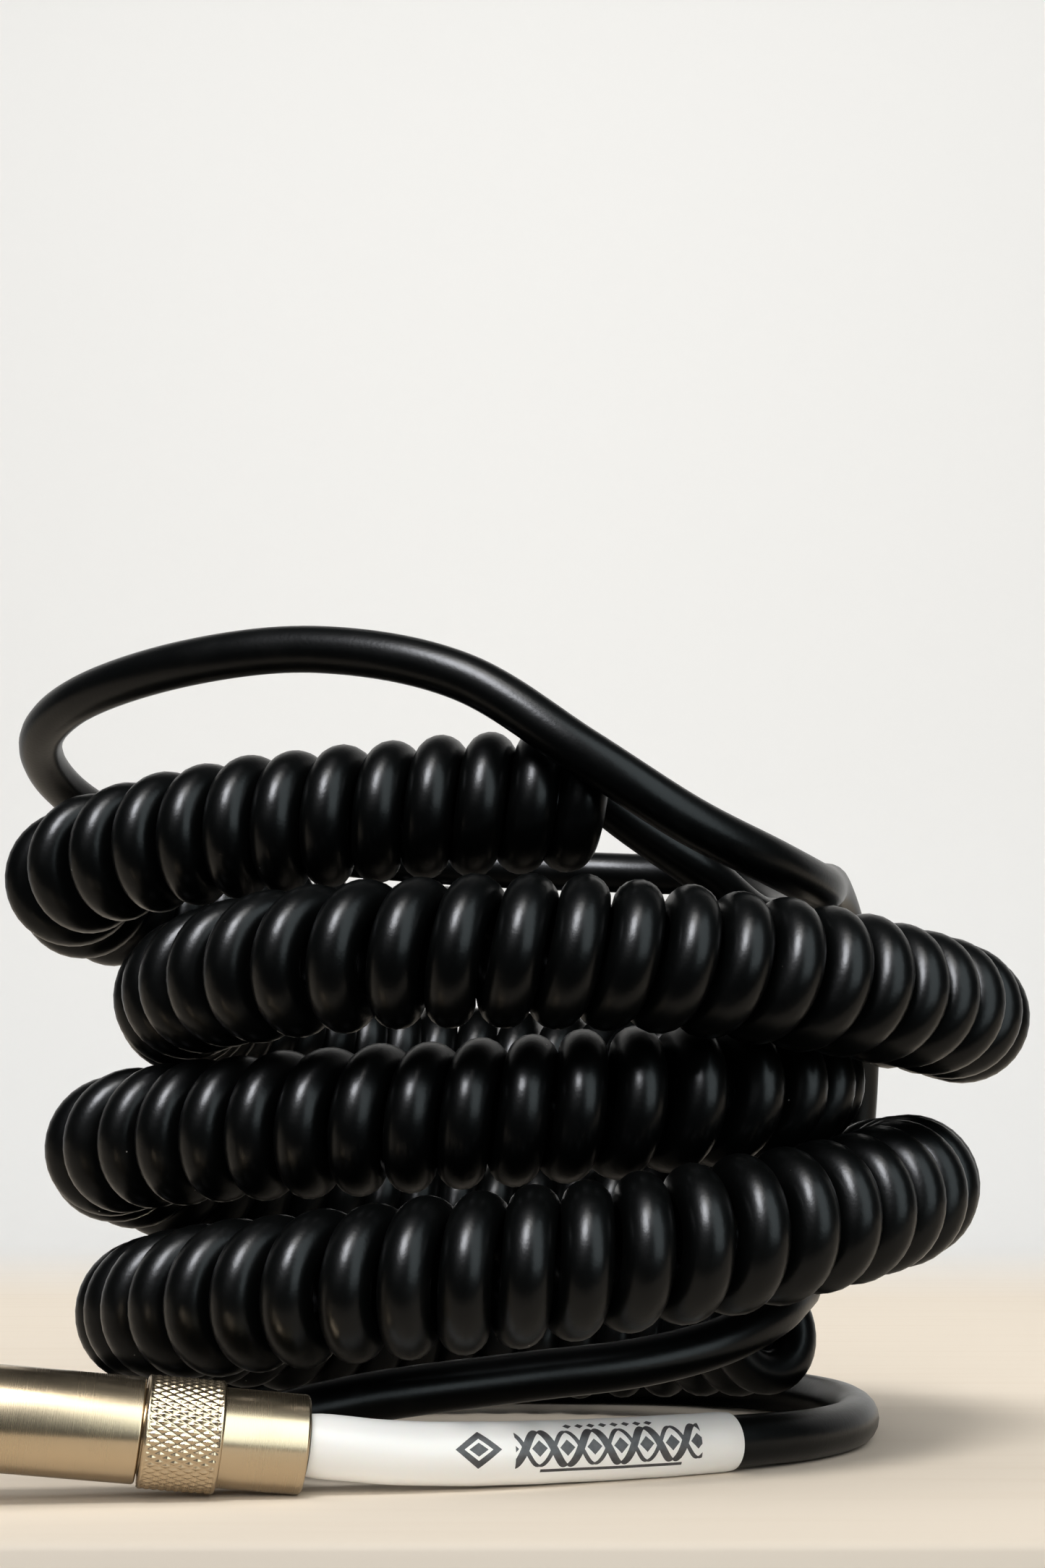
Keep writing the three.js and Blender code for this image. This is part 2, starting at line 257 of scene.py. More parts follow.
def bridge(before, after, pull, step):
    """Points that join the end of one path to the start of the next, smoothly."""
    p, q = before[-1], after[0]
    out = (before[-1] - before[-2]).normalized() * pull
    into = (after[1] - after[0]).normalized() * pull
    count = max(2, round((q - p).length * BRIDGE_SLACK / step))
    return [hermite(p, out, q, into, k / count) for k in range(1, count)]


def ripple(at, waves):
    """A small uneven rise and fall, the sum of the waves."""
    return sum(size * math.sin(at * rate + start) for size, rate, start in waves)


def curl_middle(quarter):
    """The middle of the coiled curl after so many quarters of a loop."""
    angle = quarter * math.pi / 2
    x = through(SIDEWAYS, quarter / 2) * math.cos(angle)
    y = SET_BACK + through(DEEP, (quarter - 1) / 2) * math.sin(angle)
    return Vector((x, y, through(RISE, quarter)))


def curl_phases(middle, heading):
    """How far the curl has turned at each point of its middle, and its number of turns."""
    rates = [0.0]
    for k in range(1, CURL_SAMPLES + 1):
        if k % BEND_EVERY == 1:
            a, b = max(k - BEND_REACH, 0), min(k + BEND_REACH, CURL_SAMPLES)
            run = sum((middle[i + 1] - middle[i]).length for i in range(a, b))
            bend = heading[a].angle(heading[b]) / run
        pitch = TURN_GAP / (1 - CURL_R * bend) * (1 + ripple(k, PITCH_RIPPLE))
        rates.append((middle[k] - middle[k - 1]).length / pitch)
    turns = round(sum(rates)) + (LAST_PHASE - FIRST_PHASE) / TAU
    stretch = turns / sum(rates)
    phase = FIRST_PHASE
    phases = []
    for rate in rates:
        phase += rate * stretch * TAU
        phases.append(phase)
    return phases, turns


def curl_path():
    """The middle of the cord in the curl: a helix whose turns touch on the inside of each loop."""
    span = CURL_END - CURL_START
    middle = [curl_middle(CURL_START + span * k / CURL_SAMPLES) for k in range(CURL_SAMPLES + 1)]
    heading = [(b - a).normalized() for a, b in zip(middle, middle[2:])]
    heading = [heading[0]] + heading + [heading[-1]]
    phases, turns = curl_phases(middle, heading)
    steps = round(turns * STEPS_PER_TURN)
    path = []
    k = 0
    for n in range(steps + 1):
        wanted = FIRST_PHASE + (phases[-1] - FIRST_PHASE) * n / steps
        while k < CURL_SAMPLES - 1 and phases[k + 1] < wanted:
            k += 1
        u = min(max((wanted - phases[k]) / (phases[k + 1] - phases[k]), 0), 1)
        along = heading[k].lerp(heading[k + 1], u).normalized()
        outward = along.cross(Vector((0, 0, 1))).normalized()
        up = outward.cross(along)
        radius = CURL_R + ripple(wanted, CURL_RIPPLE)
        point = middle[k].lerp(middle[k + 1], u)
        point += radius * (math.cos(wanted) * outward + math.sin(wanted) * up)
        point.z = max(point.z, CORD_R + MIDDLE.z)
        path.append(point)
    return path


def plug_axis(label):
    """The rear end of a plug, and the direction its tip points in."""
    rear, towards = PLUGS[label]
    return Vector(rear), Vector(towards).normalized()


def tail_path(label, points):
    """The middle of the cord from inside a plug, straight out of it and through the points."""
    rear, along = plug_axis(label)
    straight = [rear + along * station for station in STRAIGHT_STATIONS]
    return smooth_path(straight + points, PATH_STEP)


# ---- Mesh building ----
def new_object(name, vertices, faces, uvs, smooth_below):
    mesh = bpy.data.meshes.new(name)
    mesh.from_pydata(vertices, [], faces)
    layer = mesh.uv_layers.new(name="Turned")
    for loop in mesh.loops:
        layer.data[loop.index].uv = uvs[loop.index]
    mesh.shade_smooth()
    mesh.set_sharp_from_angle(angle=math.radians(smooth_below))
    piece = bpy.data.objects.new(name, mesh)
    bpy.context.scene.collection.objects.link(piece)
    return piece


def grid_mesh(name, rows, row_lengths, closed, smooth_below=40):
    """A surface over rings of points. UV: distance along in metres, and the angle round as 0..1.

    The last ring joins the first where closed; otherwise both ends are capped.
    """
    count = len(rows[0])
    vertices = [v for row in rows for v in row]
    faces = []
    uvs = []
    pairs = len(rows) if closed else len(rows) - 1
    for i in range(pairs):
        j = (i + 1) % len(rows)
        u0, u1 = row_lengths[i], row_lengths[i + 1]
        for k in range(count):
            m = (k + 1) % count
            faces.append((i * count + k, i * count + m, j * count + m, j * count + k))
            v0, v1 = k / count, (k + 1) / count
            uvs += [(u0, v0), (u0, v1), (u1, v1), (u1, v0)]
    if not closed:
        faces.append(tuple(range(count))[::-1])
        uvs += [(row_lengths[0], 0.5)] * count
        faces.append(tuple((len(rows) - 1) * count + k for k in range(count)))
        uvs += [(row_lengths[len(rows) - 1], 0.5)] * count
    return new_object(name, vertices, faces, uvs, smooth_below)


def frames_along(path):
    """A heading and a sideways direction at each point, turned as little as possible."""
    headings = [(b - a).normalized() for a, b in zip(path, path[2:])]
    headings = [(path[1] - path[0]).normalized()] + headings + [(path[-1] - path[-2]).normalized()]
    side = headings[0].cross(Vector((0, 0, 1))).normalized()
    sides = []
    for heading in headings:
        side = (side - heading * side.dot(heading)).normalized()
        sides.append(side)
    return headings, sides


def ring(middle, radius, first, second, segments, start=0.0):
    """Points round a middle, in the frame's metres; the first and second directions span them."""
    angles = [TAU * k / segments + start for k in range(segments)]
    return [
        place(middle + radius * (math.cos(angle) * first + math.sin(angle) * second))
        for angle in angles
    ]


def tube(name, path, radius, segments):
    headings, sides = frames_along(path)
    rows = []
    lengths = []
    length = 0.0
    for n, point in enumerate(path):
        if n:
            length += (point - path[n - 1]).length
        rows.append(ring(point, radius, sides[n], headings[n].cross(sides[n]), segments))
        lengths.append(length * MM)
    return grid_mesh(name, rows, lengths, False)


# ---- The cord ----
def add_cord():
    """The whole lead as one piece; also its path, its length in metres and the tails' paths."""
    tail_a = tail_path("a", LEAD_A[:-1])
    tail_b = tail_path("b", LEAD_B[:-2])[::-1]
    curl = curl_path()
    into_curl = bridge(tail_a, curl, PULL_A, BRIDGE_STEP)
    out_of_curl = bridge(curl, tail_b, PULL_B, BRIDGE_STEP)
    path = tail_a + into_curl + curl + out_of_curl + tail_b
    cord = tube("lead_cord", path, CORD_R, CORD_SIDES)
    cord.data.materials.append(black_jacket())
    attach(cord, "lead")
    loops = [f"curl_loop_{n}" for n in range(1, 5)]
    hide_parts("lead_tail_a", "lead_tail_b", *loops)
    length = sum((b - a).length for a, b in zip(path, path[1:])) * MM
    print("cord length", length, "points", len(path))
    return cord, path, length, {"a": tail_a, "b": tail_b[::-1]}


# ---- The plugs ----
def rounded(outline, reach, whole):
    """The outline with its corners cut by short curves; whole where it goes right round."""
    count = len(outline)
    points = []
    for i, corner in enumerate(outline):
        if not whole and i in (0, count - 1):
            points.append(corner)
            continue
        before, after = outline[i - 1], outline[(i + 1) % count]
        cuts = []
        for other in (before, after):
            run = math.dist(corner, other)
            share = min(reach, 0.4 * run) / run
            cuts.append([c + (o - c) * share for c, o in zip(corner, other)])
        for k in range(CORNER_STEPS + 1):
            u = k / CORNER_STEPS
            points.append(tuple(
                a * (1 - u) ** 2 + c * 2 * u * (1 - u) + b * u * u
                for a, c, b in zip(cuts[0], corner, cuts[1])
            ))
    return points


def finer(outline, start, end, step):
    """The outline with its level edges between two stations divided into short steps."""
    points = []
    for p, q in zip(outline, outline[1:] + outline[:1]):
        points.append(p)
        inside = start - 0.01 <= min(p[0], q[0]) and max(p[0], q[0]) <= end + 0.01
        if inside and abs(p[0] - q[0]) > 2 * step:
            count = round(abs(p[0] - q[0]) / step)
            for k in range(1, count):
                points.append(tuple(a + (b - a) * k / count for a, b in zip(p, q)))
    return points


def turned(label, name, outline, segments, smooth_below=40, relief=None):
    """A piece turned about a plug's axis. An outline that starts on the axis also ends on it."""
    rear, along = plug_axis(label)
    side = along.cross(Vector((0, 0, 1))).normalized()
    up = along.cross(side)
    on_axis = outline[0][1] == 0
    if on_axis:
        outline = [(outline[0][0], AXIS_R)] + outline[1:-1] + [(outline[-1][0], AXIS_R)]
    rows = []
    lengths = [0.0]
    for n, (station, radius) in enumerate(outline):
        row = []
        for k in range(segments):
            angle = TAU * k / segments
            r = radius + (relief(station, angle, radius) if relief else 0)
            around = math.cos(angle) * side + math.sin(angle) * up
            row.append(place(rear + along * station + around * r))
        rows.append(row)
        run = math.dist((station, radius), outline[(n + 1) % len(outline)])
        lengths.append(lengths[-1] + run * MM)
    return grid_mesh(f"plug_{label}_{name}", rows, lengths, not on_axis, smooth_below)


def thread_relief(start, end, crest, depth):
    """A screw thread cut into the crest between two stations, easing in and out."""
    def relief(station, angle, radius):
        if not start < station < end or radius < crest - 0.01:
            return 0
        place_on_thread = (station / THREAD_PITCH - angle / TAU) % 1
        ease = min(1, (station - start) / THREAD_EASE, (end - station) / THREAD_EASE)
        return -depth * ease * min(1, THREAD_FLANK * abs(place_on_thread - 0.5))
    return relief


def knurl_relief(station, angle, radius):
    """Raised pointed diamonds between two plain lips."""
    inner = min(station - NUT_TAIL_L, NUT_L - station) - KNURL_LIP
    if inner < 0 or radius < KNURL_R - KNURL_EDGE:
        return 0
    around = KNURL_ROUND * angle / TAU
    along = (station - NUT_TAIL_L) / KNURL_LONG
    high = 1 - 2 * max(abs((around + slope * along) % 1 - 0.5) for slope in (1, -1))
    return KNURL_DEPTH * min(1, inner / KNURL_EASE) * (KNURL_PEAK * high - 1)


def tip_contact(label):
    outline = [
        (ROD_START, 0), (ROD_START, STEM_R), (TIP_START, STEM_R), (TIP_START, JACK_R),
        (TIP_START + 2.6, JACK_R), (TIP_START + 3.5, WAIST_R), (TIP_START + 4.4, WAIST_R),
        (TIP_START + 7.0, JACK_R - 0.02), (TIP_START + 8.6, JACK_R - 0.4),
        (TIP_START + 10.3, JACK_R - 1.45), (TIP_END - 0.5, 0.95), (TIP_END, 0.45), (TIP_END, 0),
    ]
    return turned(label, "tip_contact_turned", rounded(outline, 0.5, False), 64, 55)


def tip_insulator(label):
    start, end = BOSS_START + GAP, TIP_START - FIT
    outside = JACK_R - 0.03
    outline = [
        (start, ROD_HOLE_R), (start, TUBE_R), (RING_START, TUBE_R), (RING_START, outside),
        (end, outside), (end, ROD_HOLE_R),
    ]
    return turned(label, "tip_insulator_ring", rounded(outline, 0.06, True), 64)


def sleeve_contact(label):
    end = RING_START - FIT
    outline = [
        (BOSS_START, BOSS_BORE_R), (BOSS_START, BOSS_R), (SHOULDER_START, BOSS_R),
        (SHOULDER_START, SHOULDER_R), (SHOULDER_END - 0.3, SHOULDER_R),
        (SHOULDER_END, SHOULDER_R - 0.3), (SHOULDER_END, JACK_R + 0.5),
        (SHOULDER_END + 0.5, JACK_R), (end, JACK_R), (end, BOSS_BORE_R),
    ]
    outline = finer(rounded(outline, EDGE, True), BOSS_START, SHOULDER_START, THREAD_STEP)
    relief = thread_relief(BOSS_START + 0.2, SHOULDER_START - 0.8, BOSS_R, 0.45)
    return turned(label, "sleeve_contact_turned", outline, 72, 40, relief)


def barrel(label):
    collar_end = BARREL_START + COLLAR_L
    outline = [
        (SPIGOT_START, COLLAR_BORE_R), (SPIGOT_START, SPIGOT_R), (BARREL_START, SPIGOT_R),
        (BARREL_START, BARREL_R - 0.25), (BARREL_START + 0.25, BARREL_R),
        (BARREL_END - 0.45, BARREL_R), (BARREL_END, BARREL_R - 0.45),
        (BARREL_END, BARREL_BORE_R), (collar_end, BARREL_BORE_R), (collar_end, COLLAR_BORE_R),
    ]
    outline = finer(rounded(outline, EDGE, True), SPIGOT_START, BARREL_START, THREAD_STEP)
    relief = thread_relief(SPIGOT_START + 0.2, BARREL_START - 0.8, SPIGOT_R, 0.4)
    return turned(label, "barrel_turned", outline, 96, 40, relief)


def clamp_nut(label):
    outline = [
        (0, NUT_MOUTH_R + 0.2), (0, NUT_TAIL_R - 0.35), (0.35, NUT_TAIL_R),
        (NUT_TAIL_L, NUT_TAIL_R), (NUT_TAIL_L, KNURL_R - 0.3), (NUT_TAIL_L + 0.3, KNURL_R),
        (NUT_L - 0.3, KNURL_R), (NUT_L, KNURL_R - 0.3), (NUT_L, NUT_CAVITY_R),
        (CONE_END, NUT_CAVITY_R), (CONE_START, NUT_MOUTH_R), (0.2, NUT_MOUTH_R),
    ]
    outline = finer(rounded(outline, 0.1, True), NUT_TAIL_L, NUT_L, KNURL_LONG / 12)
    return turned(label, "clamp_nut_knurled", outline, KNURL_ROUND * 10, 62, knurl_relief)


def printed_sleeve(label, path):
    """Heat-shrink on the stretch of lead behind the nut, thick at its cut ends by its own wall."""
    start = JACKET_END - SHRINK_IN_NUT
    covered = []
    length = 0.0
    for a, b in zip(path, path[1:]):
        length += (b - a).length
        if start <= length <= start + SHRINK_L:
            covered.append(b)
    headings, sides = frames_along(covered)
    last = len(covered) - 1
    outside = [(n, SHRINK_R) for n in range(last + 1)]
    inside = [(n, CORD_R + FIT) for n in range(last, -1, -1)]
    rows = []
    lengths = []
    length = 0.0
    before, radius_before = outside[0]
    for n, radius in outside + inside:
        length += (covered[n] - covered[before]).length + abs(radius - radius_before)
        lengths.append(length * MM)
        before, radius_before = n, radius
        if radius == SHRINK_R:
            radius -= SHRUNK_ENDS.get(min(n, last - n), 0)
            radius += ripple(n, SLEEVE_RIPPLE)
        up = headings[n].cross(sides[n])
        turn = -math.pi - PRINT_LEAN
        rows.append(ring(covered[n], radius, sides[n], up, SLEEVE_SEGMENTS, turn))
    lengths.append(lengths[-1] + (SHRINK_R - CORD_R) * MM)
    return grid_mesh(f"plug_{label}_shrink", rows, lengths, True)


def add_plugs(tails, looks):
    for label in PLUGS:
        pieces = [
            (tip_contact, "lead", "tip_contact", "plated_contact"),
            (tip_insulator, "lead", "tip_insulator", "black_insulator"),
            (sleeve_contact, "lead", "sleeve_contact", "plated_contact"),
            (barrel, f"barrel_{label}", "barrel", "satin_gold_metal"),
            (clamp_nut, f"nut_{label}", "clamp_nut", "satin_gold_metal"),
        ]
        for make, body, cad, slot in pieces:
            dress(make(label), body, f"plug_{label}_{cad}", slot, looks)
        sleeve = printed_sleeve(label, tails[label])
        dress(sleeve, "lead", f"plug_{label}_printed_sleeve", "white_shrink", looks)
        for cad, slot in KEPT_NODES.items():
            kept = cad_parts[f"plug_{label}_{cad}"]
            kept.data.materials.clear()
            kept.data.materials.append(looks[slot])


def dress(piece, body, cad, slot, looks):
    """The piece's look, the body it moves with and the CAD node it stands for."""
    piece.data.materials.append(looks[slot])
    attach(piece, body)
    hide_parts(cad)


# ---- Materials ----
def material(name, colour, roughness, metallic=0.0):
    made = bpy.data.materials.new(name)
    made.use_nodes = True
    shader = made.node_tree.nodes["Principled BSDF"]
    shader.inputs["Base Color"].default_value = (*colour, 1)
    shader.inputs["Roughness"].default_value = roughness
    shader.inputs["Metallic"].default_value = metallic
    return made, made.node_tree, shader


def feed(tree, socket, value):
    """Links the socket to another socket, or sets it to a plain value."""
    if isinstance(value, bpy.types.NodeSocket):
        tree.links.new(value, socket)
    else:
        socket.default_value = value


def node(tree, kind, inputs=None, **settings):
    made = tree.nodes.new(kind)
    for key, value in settings.items():
        setattr(made, key, value)
    for key, value in (inputs or {}).items():
        feed(tree, made.inputs[key], value)
    return made


def ramp(tree, value, low, high, falling=False):
    """0 below low and 1 above high, or the other way round where falling."""
    made = node(tree, "ShaderNodeValToRGB", {"Fac": value})
    shades = ((1, 1, 1, 1), (0, 0, 0, 1)) if falling else ((0, 0, 0, 1), (1, 1, 1, 1))
    for element, position, shade in zip(made.color_ramp.elements, (low, high), shades):
        element.position = position
        element.color = shade
    return made.outputs["Color"]


def noise(tree, vector, scale, detail=2.0):
    inputs = {"Vector": vector, "Scale": scale, "Detail": detail}
    return node(tree, "ShaderNodeTexNoise", inputs).outputs["Fac"]


def cells(tree, vector, scale):
    """The distance to the nearest of many scattered points."""
    inputs = {"Vector": vector, "Scale": scale, "Randomness": 1.0}
    return node(tree, "ShaderNodeTexVoronoi", inputs).outputs["Distance"]


def spread(tree, value, low, high):
    """The value, 0..1, spread over low..high."""
    made = node(tree, "ShaderNodeMapRange", {"Value": value, "To Min": low, "To Max": high})
    return made.outputs["Result"]


def maths(tree, operation, *values):
    made = node(tree, "ShaderNodeMath", operation=operation)
    for socket, value in zip(made.inputs, values):
        feed(tree, socket, value)
    return made.outputs["Value"]


def mixed(tree, share, first, second):
    made = node(tree, "ShaderNodeMix", {"Factor": share}, data_type="RGBA")
    for name, value in (("A", first), ("B", second)):
        feed(tree, next(i for i in made.inputs if i.name == name and i.type == "RGBA"), value)
    return next(o for o in made.outputs if o.type == "RGBA")


def bumped(tree, shader, height, strength, distance):
    inputs = {"Height": height, "Strength": strength, "Distance": distance}
    bump = node(tree, "ShaderNodeBump", inputs)
    tree.links.new(bump.outputs["Normal"], shader.inputs["Normal"])


def object_place(tree):
    return node(tree, "ShaderNodeTexCoord").outputs["Object"]


def turned_place(tree):
    return node(tree, "ShaderNodeUVMap", uv_map="Turned").outputs["UV"]


def black_jacket():
    """Matt black vinyl with a faint film, an uneven skin and a few specks of dust."""
    made, tree, shader = material("black_jacket", JACKET_BLACK, 0.24)
    shader.inputs["Specular IOR Level"].default_value = 0.15
    where = object_place(tree)
    cloud = noise(tree, where, 160, 3)
    fine = noise(tree, where, 1500, 2)
    rough = maths(tree, "ADD", spread(tree, cloud, 0.26, 0.35), spread(tree, fine, -0.02, 0.02))
    tree.links.new(rough, shader.inputs["Roughness"])
    skin = maths(tree, "MULTIPLY", noise(tree, where, 75, 1), 6.0)
    bumped(tree, shader, maths(tree, "ADD", fine, skin), 0.16, 0.00012)
    speck = ramp(tree, cells(tree, where, 300), 0.03, 0.05, falling=True)
    dust = maths(tree, "MULTIPLY", speck, ramp(tree, noise(tree, where, 80, 1), 0.62, 0.66))
    film = maths(tree, "MULTIPLY", ramp(tree, cloud, 0.55, 0.8), 0.004)
    colour = mixed(tree, maths(tree, "ADD", dust, film), (*JACKET_BLACK, 1), (*DUST, 1))
    tree.links.new(colour, shader.inputs["Base Color"])
    return made


def lathe_rings(tree, along, per_metre, detail):
    """Noise that changes only along a turned piece."""
    inputs = {"W": maths(tree, "MULTIPLY", along, per_metre), "Scale": 1.0, "Detail": detail}
    return node(tree, "ShaderNodeTexNoise", inputs, noise_dimensions="1D").outputs["Fac"]


def turned_metal(name, colour, tint, roughness, lines):
    """Metal with the fine rings a lathe leaves, dull patches and a few small nicks."""
    made, tree, shader = material(name, colour, roughness, 1.0)
    where = object_place(tree)
    along = node(tree, "ShaderNodeSeparateXYZ", {"Vector": turned_place(tree)}).outputs["X"]
    fine = lathe_rings(tree, along, 9000.0, 3.0)
    wide = lathe_rings(tree, along, 1300.0, 1.0)
    patches = noise(tree, where, 140, 3)
    dulled = spread(tree, patches, roughness - 0.03, roughness + 0.06)
    rough = maths(tree, "ADD", dulled, spread(tree, fine, -0.05, 0.05))
    tree.links.new(rough, shader.inputs["Roughness"])
    nick = ramp(tree, cells(tree, where, 330), 0.04, 0.08)
    rings = maths(tree, "MULTIPLY", fine, lines)
    rings = maths(tree, "ADD", rings, maths(tree, "MULTIPLY", wide, 0.3))
    height = maths(tree, "ADD", rings, maths(tree, "MULTIPLY", nick, 0.7))
    bumped(tree, shader, height, 0.07, 0.00008)
    base = mixed(tree, spread(tree, patches, 0.0, 1.0), (*colour, 1), (*tint, 1))
    tree.links.new(base, shader.inputs["Base Color"])
    return made


def plain_look(name, colour, other, roughness, metallic, scale):
    """One material for an inner piece, clouded between two near colours."""
    made, tree, shader = material(name, colour, roughness, metallic)
    where = object_place(tree)
    cloud = noise(tree, where, scale, 3)
    tree.links.new(mixed(tree, cloud, (*colour, 1), (*other, 1)), shader.inputs["Base Color"])
    rough = spread(tree, cloud, roughness - 0.08, roughness + 0.08)
    tree.links.new(rough, shader.inputs["Roughness"])
    bumped(tree, shader, noise(tree, where, scale * 8, 2), 0.1, 0.00008)
    return made


def white_shrink():
    made, tree, shader = material("white_shrink", SHRINK_WHITE, 0.3)
    shader.inputs["Subsurface Weight"].default_value = 0.05
    shader.inputs["Subsurface Scale"].default_value = 0.001
    shader.inputs["Specular IOR Level"].default_value = 0.3
    where = object_place(tree)
    cloud = noise(tree, where, 120, 2)
    tree.links.new(spread(tree, cloud, 0.24, 0.38), shader.inputs["Roughness"])
    bumped(tree, shader, noise(tree, where, 260, 2), 0.12, 0.0002)
    worn = spread(tree, noise(tree, where, 900, 2), 0.9, 1.0)
    ink = maths(tree, "MULTIPLY", ornament(tree), worn)
    printed = mixed(tree, ink, (*SHRINK_WHITE, 1), (*INK, 1))
    tree.links.new(printed, shader.inputs["Base Color"])
    return made


def ornament(tree):
    """Where the sleeve is printed: a lozenge, crossing waves with beads, small dots and a line."""
    parts = node(tree, "ShaderNodeSeparateXYZ", {"Vector": turned_place(tree)})
    along = maths(tree, "MULTIPLY", parts.outputs["X"], 1 / MM)
    turn = maths(tree, "SUBTRACT", parts.outputs["Y"], 0.5)
    around = maths(tree, "MULTIPLY", turn, TAU * SHRINK_R)

    def within(value, limits):
        above = maths(tree, "GREATER_THAN", value, limits[0])
        return maths(tree, "MULTIPLY", above, maths(tree, "LESS_THAN", value, limits[1]))

    def off(centre):
        return maths(tree, "ABSOLUTE", maths(tree, "SUBTRACT", around, centre))

    def wave(height, weight, shift):
        """A wave that is thin at its crests and thickest between them."""
        phase = maths(tree, "MULTIPLY", maths(tree, "ADD", along, shift), TAU / WAVE)
        centre = maths(tree, "MULTIPLY", maths(tree, "SINE", phase), height)
        slope = maths(tree, "ABSOLUTE", maths(tree, "COSINE", phase))
        thick = maths(tree, "ADD", maths(tree, "MULTIPLY", slope, weight), THINNEST)
        return maths(tree, "LESS_THAN", off(centre), thick)

    def row(period, half_wide, half_high, level=0.0):
        """Lozenges at equal steps along the sleeve."""
        place_in_step = maths(tree, "FRACT", maths(tree, "DIVIDE", along, period))
        cell = maths(tree, "ABSOLUTE", maths(tree, "SUBTRACT", place_in_step, 0.5))
        wide = maths(tree, "DIVIDE", cell, half_wide / period)
        high = maths(tree, "DIVIDE", off(level), half_high)
        return maths(tree, "LESS_THAN", maths(tree, "ADD", wide, high), 1.0)

    ring_mark = maths(tree, "SUBTRACT", row(EMBLEM, 3.4, 2.8), row(EMBLEM, 2.1, 1.6))
    shapes = [
        (ring_mark, EMBLEM_ZONE),
        (row(EMBLEM, 1.4, 1.0), EMBLEM_ZONE),
        (wave(2.5, 1.15, 0.0), RIBBON_ZONE),
        (wave(2.5, 0.5, WAVE / 2), RIBBON_ZONE),
        (row(BEAD, 1.25, 1.2), RIBBON_ZONE),
        (row(2.0, 0.75, 0.5, -3.6), TOPS_ZONE),
        (within(around, LINE_BAND), LINE_ZONE),
    ]
    ink = 0.0
    for shape, zone in shapes:
        shown = maths(tree, "MULTIPLY", shape, within(along, zone))
        ink = maths(tree, "MAXIMUM", ink, shown)
    return ink


def all_looks():
    gold = turned_metal("satin_gold_metal", (0.49, 0.39, 0.265), (0.44, 0.345, 0.225), 0.24, 0.5)
    plated = turned_metal("plated_contact", (0.70, 0.60, 0.44), (0.64, 0.54, 0.38), 0.17, 0.4)
    looks = {
        "satin_gold_metal": gold,
        "plated_contact": plated,
        "white_shrink": white_shrink(),
    }
    for name, colour, other, roughness, metallic, scale in (
        ("black_insulator", (0.012, 0.012, 0.013), (0.02, 0.02, 0.02), 0.4, 0, 300),
        ("clear_plastic", (0.72, 0.72, 0.68), (0.6, 0.6, 0.57), 0.3, 0, 200),
        ("tinned_lug", (0.62, 0.62, 0.62), (0.5, 0.5, 0.49), 0.35, 1, 400),
        ("copper_wire", (0.78, 0.42, 0.26), (0.6, 0.3, 0.18), 0.3, 1, 500),
    ):
        looks[name] = plain_look(name, colour, other, roughness, metallic, scale)
    return looks


# ---- Stage ----
def pale_floor():
    """Pale wood near the lead, with faint fibres, turning to a plain backdrop further off."""
    made, tree, shader = material("pale_floor", NEAR_FLOOR[:3], 0.6)
    shader.inputs["Specular IOR Level"].default_value = 0.2
    where = object_place(tree)
    depth = node(tree, "ShaderNodeSeparateXYZ", {"Vector": where}).outputs["Y"]
    limits = {"Value": depth, "From Min": FADE_START, "From Max": FADE_END}
    far = node(tree, "ShaderNodeMapRange", limits).outputs["Result"]
    plain = mixed(tree, far, NEAR_FLOOR, FAR_FLOOR)
    stretched = node(tree, "ShaderNodeMapping", {"Vector": where, "Scale": (0.07, 1, 1)})
    streak = ramp(tree, noise(tree, stretched.outputs["Vector"], 110, 4), 0.5, 0.75)
    near = maths(tree, "SUBTRACT", 1.0, far)
    fibre = maths(tree, "MULTIPLY", maths(tree, "MULTIPLY", streak, near), 0.16)
    tree.links.new(mixed(tree, fibre, plain, GRAIN), shader.inputs["Base Color"])
    return made


def add_stage():
    """A table with a front edge, which rises at the back into a wall."""
    front = place((0, TABLE_FRONT, 0)).y
    bend = STAGE_BACK - COVE
    outline = [(front, -TABLE_THICK), (front, -TABLE_EDGE), (front + TABLE_EDGE, 0.0), (bend, 0.0)]
    for k in range(1, COVE_STEPS + 1):
        angle = k / COVE_STEPS * math.pi / 2
        outline.append((bend + COVE * math.sin(angle), COVE - COVE * math.cos(angle)))
    outline.append((STAGE_BACK, STAGE_TOP))
    vertices = [(x, y, z) for y, z in outline for x in (-STAGE_HALF, STAGE_HALF)]
    faces = [(2 * k, 2 * k + 1, 2 * k + 3, 2 * k + 2) for k in range(len(outline) - 1)]
    mesh = bpy.data.meshes.new("floor")
    mesh.from_pydata(vertices, [], faces)
    mesh.shade_smooth()
    mesh.materials.append(pale_floor())
    floor = bpy.data.objects.new("floor", mesh)
    bpy.context.scene.collection.objects.link(floor)


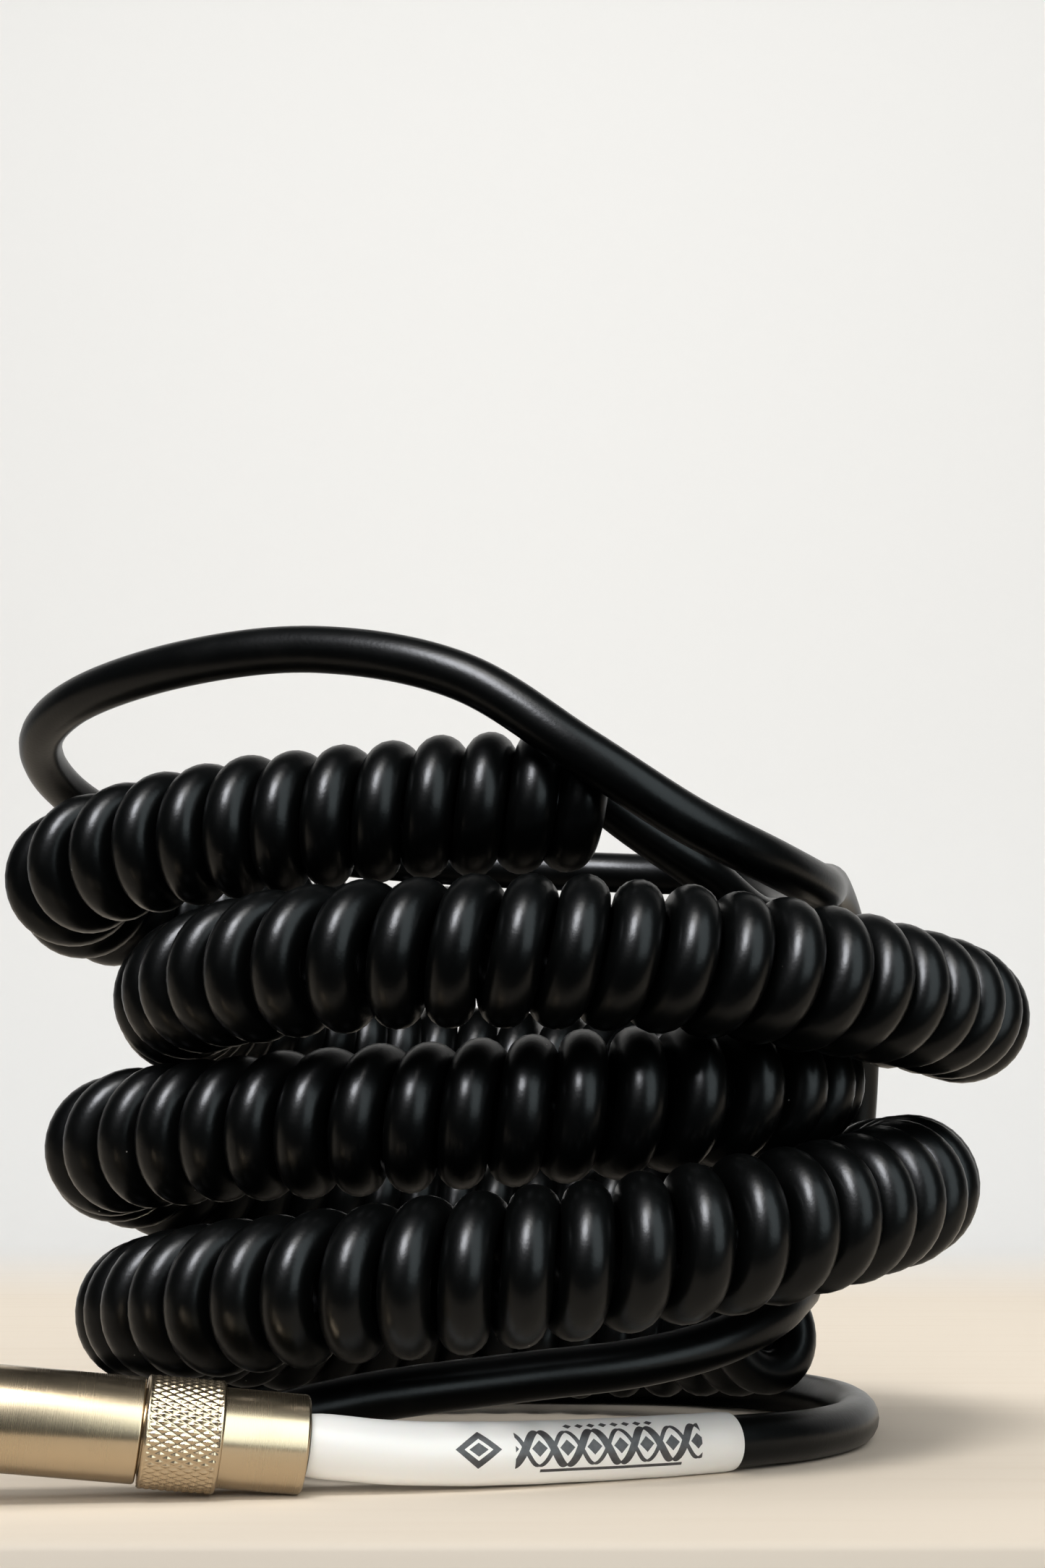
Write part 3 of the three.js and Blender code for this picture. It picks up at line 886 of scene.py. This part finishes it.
def add_area(name, location, target, size, power, colour, lights=True, mirrored=True):
    """A soft lamp; lights says whether it lights surfaces, and mirrored whether they mirror it."""
    data = bpy.data.lights.new(name, "AREA")
    data.shape = "RECTANGLE"
    data.size, data.size_y = size
    data.energy = power
    data.color = colour
    lamp = bpy.data.objects.new(name, data)
    bpy.context.scene.collection.objects.link(lamp)
    lamp.location = location
    lamp.rotation_euler = (Vector(target) - Vector(location)).to_track_quat("-Z", "Y").to_euler()
    lamp.visible_diffuse = lights
    lamp.visible_glossy = mirrored


def add_light():
    """Soft lamps, in a room that is dim in reflections and pale behind the object."""
    world = bpy.data.worlds.new("studio")
    bpy.context.scene.world = world
    world.use_nodes = True
    tree = world.node_tree
    background = tree.nodes["Background"]
    seen = node(tree, "ShaderNodeLightPath").outputs["Is Camera Ray"]
    tree.links.new(mixed(tree, seen, ROOM, PALE_ROOM), background.inputs["Color"])
    add_area("key", (-0.08, -0.9, 1.6), PILE, (0.6, 0.5), 16, (1, 0.985, 0.95))
    add_area("room_front", (-0.8, -1.6, 0.4), PILE, (1.2, 0.7), 0.9, (0.95, 1, 1))
    # Lamps that light surfaces but are not mirrored in them.
    for name, location, target, size, power, colour in (
        ("fill", (0.2, -1.4, 0.7), PILE, (1.2, 0.8), 7.5, (1, 0.995, 0.97)),
        ("wall_wash", (0.3, 0, 1.15), (0.3, 1.3, 0.25), (4.6, 0.8), 20.5, (0.985, 0.993, 1)),
        ("table_wash", (0, 0.85, 1.4), (0, 0.7, 0), (1.8, 0.5), 2.5, (1, 0.98, 0.92)),
    ):
        add_area(name, location, target, size, power, colour, mirrored=False)
    # Lamps that only show as reflections.
    for name, location, size, power, colour in (
        ("key_mirrored", (-0.26, -0.84, 0.86), (0.36, 0.5), 37, (0.93, 0.95, 1)),
        ("window_mirrored", (0.8, -0.95, 0.6), (1.0, 1.6), 20, (0.83, 0.96, 1)),
    ):
        add_area(name, location, PILE, size, power, colour, lights=False)


bpy.context.scene.view_settings.view_transform = "Standard"
add_camera()
cord, cord_path, cord_length, tails = add_cord()
add_plugs(tails, all_looks())
add_stage()
add_light()
